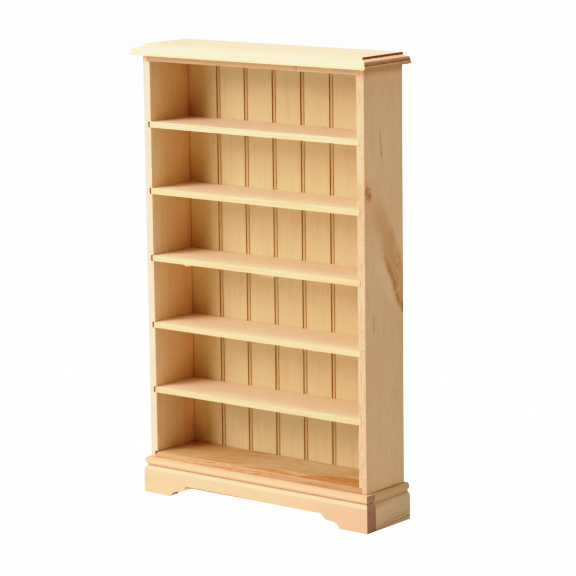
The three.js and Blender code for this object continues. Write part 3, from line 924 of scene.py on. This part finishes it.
def top_board():
    lo, hi = box("top_board")
    # (inset, height): fillet, quarter round, ledge and step
    profile = [(0.0, 0.0), (0.0, 1.05)] + arc(1.48, 1.17, 1.1, 1.75, 180, 90, steps=10)
    profile += [(3.84, 3.3), (3.84, 4.3)]
    profile = [(inset, TOP_UNDERSIDE + height) for inset, height in profile]
    ob = build("top_board", "top_wood", *sweep(profile, hi[0], lo[1], hi[1]),
               [(every, 0.11, 2)])
    dress(ob, wood("top_board", grain="x", seed=61.0, base=(0.96, 0.715, 0.445),
                   dark=(0.93, 0.60, 0.33), figure=top_figure, heart=(2.0, 150.0), ring=0.20,
                   pitch=1.9, streak=0.20, fine=0.18, dash=0.07, curl=0.03,
                   end=(0.80, 0.66, 0.52)))


top_board()


# ============================================================ plinth
def plinth_ledge(board):
    """Thin dark brown line on the plinth's top, along where the carcass stands on it."""
    outside = maths("MAXIMUM", abs(board.x) - 53.7, -10.8 - board.y)
    ragged = noise(board.x * 0.6, board.y * 0.6, 3.0, detail=3.0, rough=0.6) - 0.5
    stain = ramp(outside + ragged * 0.25, 0.70, 0.30) * ramp(board.z, 13.9, 14.35)
    board.paint(stain * 0.75, (0.46, 0.34, 0.20))


def plinth_end_figure(board):
    """Two dark growth lines low down and a brown patch under the bead."""
    y, z = board.y, board.z
    warp = noise(y * 0.08, z * 0.5, 3.3, detail=3.0) - 0.5
    lower = bell(z - 1.2 - y * 0.057 + warp * 0.7, 0.0, half=0.12, soft=0.28)
    upper = bell(z - 2.4 - y * 0.065 + warp * 0.8, 0.0, half=0.08, soft=0.28) * 0.75
    board.tint((lower + upper) * 0.75, (0.66, 0.48, 0.33))
    board.tint(ramp(z, 11.2, 11.8), (0.91, 0.79, 0.66))
    patch = bell(z - 9.9 - y * 0.02 + warp * 1.5, 0.0, half=0.30, soft=0.8)
    patch = patch * ramp(y, 6.0, -6.0)
    board.tint(patch * 0.6, (0.80, 0.60, 0.42))
    plinth_ledge(board)


def plinth_front_figure(board):
    x, z = board.x, board.z
    # painted light: the cove below the quirk made paler where it faces up toward the light
    board.tint(ramp(z, 9.1, 10.0) * ramp(z, 11.1, 10.9), (1.03, 1.13, 1.12))
    board.tint(bell(z, 12.5, half=0.35, soft=0.5), (1.03, 1.08, 1.05))
    board.tint(ramp(x, 5.0, 50.0) * ramp(z, 10.6, 9.0), (0.96, 0.885, 0.91))
    board.tint(ramp(z, 13.2, 14.0) * ramp(board.ny, -0.05, -0.3), (0.97, 0.86, 0.77))
    # painted shadow: a dark line in the quirk under the bead
    quirk = bell(z, 11.32, half=0.17, soft=0.28)
    board.paint(quirk * 0.86, (0.34, 0.26, 0.155))
    # painted shadow: a dark line along the lower arris of the arch, most toward the left,
    # standing in for the shade under the plinth
    arch_shadow_line = ramp(z, 5.42, 5.12) * ramp(abs(x), 34.6, 33.6) * ramp(x, 10.0, -24.0)
    board.paint(arch_shadow_line * 0.90, (0.24, 0.15, 0.09))
    # outer end faces, and painted light on the underside of the arch: its facets made pale as
    # if lit from the floor
    mottle = noise(board.y * 0.8, z * 0.5, 1.7, detail=3.0, rough=0.6)
    outer = ramp(abs(board.nx), 0.5, 0.8) * ramp(abs(x), 53.0, 54.0)
    board.tint(outer, (0.50, 0.62, 0.66))
    under = ramp(board.ny, -0.6, -0.3) * ramp(z, 5.2, 4.9) * ramp(abs(x), 52.0, 51.0)
    board.paint(under * 0.9, (0.97, 0.88, 0.72))
    board.tint(outer * ramp(mottle, 0.3, 0.7, lo=0.3) * 0.30, (0.84, 0.74, 0.62))
    plinth_ledge(board)


# (inset, z): upright face, cove and quirk, then the bead up to the top
PLINTH_PROFILE = [(0, 0), (0, 9.6), (0.09, 9.98), (0.3, 10.36), (0.6, 10.72), (0.9, 10.98),
                  (1.14, 11.16), (1.18, 11.5)] + arc(1.22, 13.1, 0.9, 1.5, 252, 92, steps=14)
PLINTH_PROFILE[-1] = (PLINTH_PROFILE[-1][0], PLINTH_TOP)
# (x, z) of the arch's right half, from the floor up
HALF_ARCH = [(42.3, 0), (41.95, 0.75), (41.35, 1.45), (40.6, 2.0), (39.8, 2.35), (36.0, 2.7),
             (35.25, 3.05), (34.5, 3.65), (33.8, 4.3), (33.0, 4.70), (32.2, 4.75)]


def plinth_front():
    lo, hi = box("plinth_front")
    arch = [(-x, z) for x, z in HALF_ARCH] + HALF_ARCH[::-1]
    ob = build("plinth_front", "plinth_wood",
               *sweep(PLINTH_PROFILE, hi[0], lo[1], hi[1], arch), [(every, 0.12, 2)])
    dress(ob, wood("plinth_front", grain="x", seed=71.0, base=(0.93, 0.47, 0.28),
                   dark=(0.89, 0.395, 0.21), figure=plinth_front_figure, heart=(26.0, -8.0),
                   ring=0.22, pitch=2.4, streak=0.24, fine=0.20, dash=0.08, curl=0.12,
                   end=(0.80, 0.78, 0.74)))


def plinth_end(node, sign, seed):
    lo, hi = box(node)
    x_out = max(abs(lo[0]), abs(hi[0]))
    x_in = min(abs(lo[0]), abs(hi[0]))
    outline = [(sign * (x_out - inset), z) for inset, z in PLINTH_PROFILE]
    outline += [(sign * x_in, PLINTH_TOP), (sign * x_in, 0.0)]
    ob = build(node, "plinth_wood", *prism(outline, "y", lo[1], hi[1]), [(every, 0.12, 2)])
    dress(ob, wood(node, grain="y", seed=seed, base=(0.66, 0.45, 0.26),
                   dark=(0.57, 0.36, 0.185), figure=plinth_end_figure,
                   heart=(sign * 40.0, -10.0), ring=0.22, streak=0.26, blotch=0.28,
                   end=(0.66, 0.54, 0.44)))


plinth_front()
plinth_end("plinth_left", -1, seed=81.0)
plinth_end("plinth_right", 1, seed=87.0)

# ============================================================ stage
scene = bpy.context.scene


def add_floor():
    """Sheet 12 m square, in metres, just under the feet."""
    cells, cell, corner = 24, 0.5, -6.0
    bm = bmesh.new()
    grid = [[bm.verts.new((i * cell + corner, j * cell + corner, -0.00003))
             for i in range(cells + 1)] for j in range(cells + 1)]
    for j in range(cells):
        for i in range(cells):
            bm.faces.new((grid[j][i], grid[j][i + 1], grid[j + 1][i + 1], grid[j + 1][i]))
    floor = add_object("floor", bm)
    return floor


def floor_paper():
    """Glowing white to the camera, plain warm white to the light that bounces off it."""
    material = new_material("floor_paper")
    seen = new("ShaderNodeBsdfDiffuse")
    plug((0.80, 0.80, 0.80), seen.inputs["Color"])
    glow = new("ShaderNodeEmission")
    plug((1.0, 1.0, 1.0), glow.inputs["Color"])
    glow.inputs["Strength"].default_value = 2.1
    glowing = new("ShaderNodeAddShader")
    plug(Value(seen.outputs[0]), glowing.inputs[0])
    plug(Value(glow.outputs[0]), glowing.inputs[1])
    bounce = new("ShaderNodeBsdfDiffuse")
    plug((0.88, 0.87, 0.85), bounce.inputs["Color"])
    choice = new("ShaderNodeMixShader")
    plug(Value(new("ShaderNodeLightPath").outputs["Is Camera Ray"]), choice.inputs[0])
    plug(Value(bounce.outputs[0]), choice.inputs[1])
    plug(Value(glowing.outputs[0]), choice.inputs[2])
    plug(Value(choice.outputs[0]), new("ShaderNodeOutputMaterial").inputs[0])
    return material


add_floor().data.materials.append(floor_paper())

world = bpy.data.worlds.new("studio")
scene.world = world
world.use_nodes = True
background = world.node_tree.nodes["Background"]
background.inputs["Color"].default_value = (1.0, 1.0, 1.0, 1)
background.inputs["Strength"].default_value = 0.025


def softbox(name, azimuth, elevation, distance, size, power):
    """White area light aimed at the bookcase, in degrees, metres and watts; azimuth is
    measured from the open front, to the left."""
    light = bpy.data.lights.new(name, "AREA")
    light.shape = "RECTANGLE"
    light.size, light.size_y = size
    light.energy = power
    ob = bpy.data.objects.new(name, light)
    scene.collection.objects.link(ob)
    a, e = math.radians(azimuth), math.radians(elevation)
    toward = Vector((-math.sin(a) * math.cos(e), -math.cos(a) * math.cos(e), math.sin(e)))
    ob.location = Vector((0, 0, 0.09)) + toward * distance
    ob.rotation_euler = (-toward).to_track_quat("-Z", "Y").to_euler()


# name, azimuth, elevation, distance, (width, height), power
for light in (
    ("key", 35, 30, 1.3, (0.6, 0.6), 14.8),
    ("key_high", 20, 45, 1.3, (0.6, 0.6), 3.7),
    ("key_low", 20, 8, 1.3, (0.6, 0.5), 1.4),
    ("overhead", 0, 85, 1.2, (0.8, 0.8), 10.0),
    ("fill_right", -85, 24, 1.3, (0.9, 0.9), 4.4),
    ("behind", 165, 25, 1.5, (0.9, 0.9), 5.0),
):
    softbox(*light)


# ============================================================ camera
def add_camera(place, azimuth, elevation, roll):
    """Long lens at a place in mm; azimuth is from the open front, to the right."""
    lens = bpy.data.cameras.new("camera")
    camera = bpy.data.objects.new("camera", lens)
    scene.collection.objects.link(camera)
    lens.sensor_width = 36.0
    lens.lens = 171.46
    lens.clip_start, lens.clip_end = 0.01, 60.0
    a, e, r = (math.radians(angle) for angle in (azimuth, elevation, roll))
    back = Vector((math.sin(a) * math.cos(e), -math.cos(a) * math.cos(e), math.sin(e)))
    level = Vector((0, 0, 1)).cross(back).normalized()
    upright = back.cross(level)
    right = math.cos(r) * level + math.sin(r) * upright
    up = -math.sin(r) * level + math.cos(r) * upright
    turn = Matrix((right, up, back)).transposed().to_4x4()
    camera.matrix_world = Matrix.Translation(Vector(place) * MM) @ turn
    scene.camera = camera


add_camera((652.03, -816.89, 278.47), azimuth=38.2216, elevation=10.3916, roll=-0.7054)

# Contrast: a short toe and a soft shoulder, as (scene-linear value, shown value).
WHITE_LEVEL = 3.0
TONE = [(0.025, 0.012), (0.08, 0.060), (0.15, 0.140), (0.22, 0.215), (0.3, 0.3),
        (0.5, 0.505), (0.8, 0.775), (1.2, 0.90), (1.9, 0.97)]


def set_tone(view):
    view.view_transform = "Standard"
    view.look = "None"
    view.exposure = 0.0
    view.use_curve_mapping = True
    mapping = view.curve_mapping
    mapping.white_level = (WHITE_LEVEL,) * 3
    mapping.clip_min_x, mapping.clip_min_y = 0, 0
    mapping.clip_max_x, mapping.clip_max_y = 1, 1
    mapping.extend = "HORIZONTAL"
    points = mapping.curves[3].points
    while len(points) > 2:
        points.remove(points[1])
    points[0].location = (0, 0)
    points[-1].location = (1, 1)
    for value, shown in TONE:
        points.new(value / WHITE_LEVEL, shown)
    for point in points:
        point.handle_type = "AUTO_CLAMPED"
    mapping.update()
    view.gamma = 1.0


set_tone(scene.view_settings)
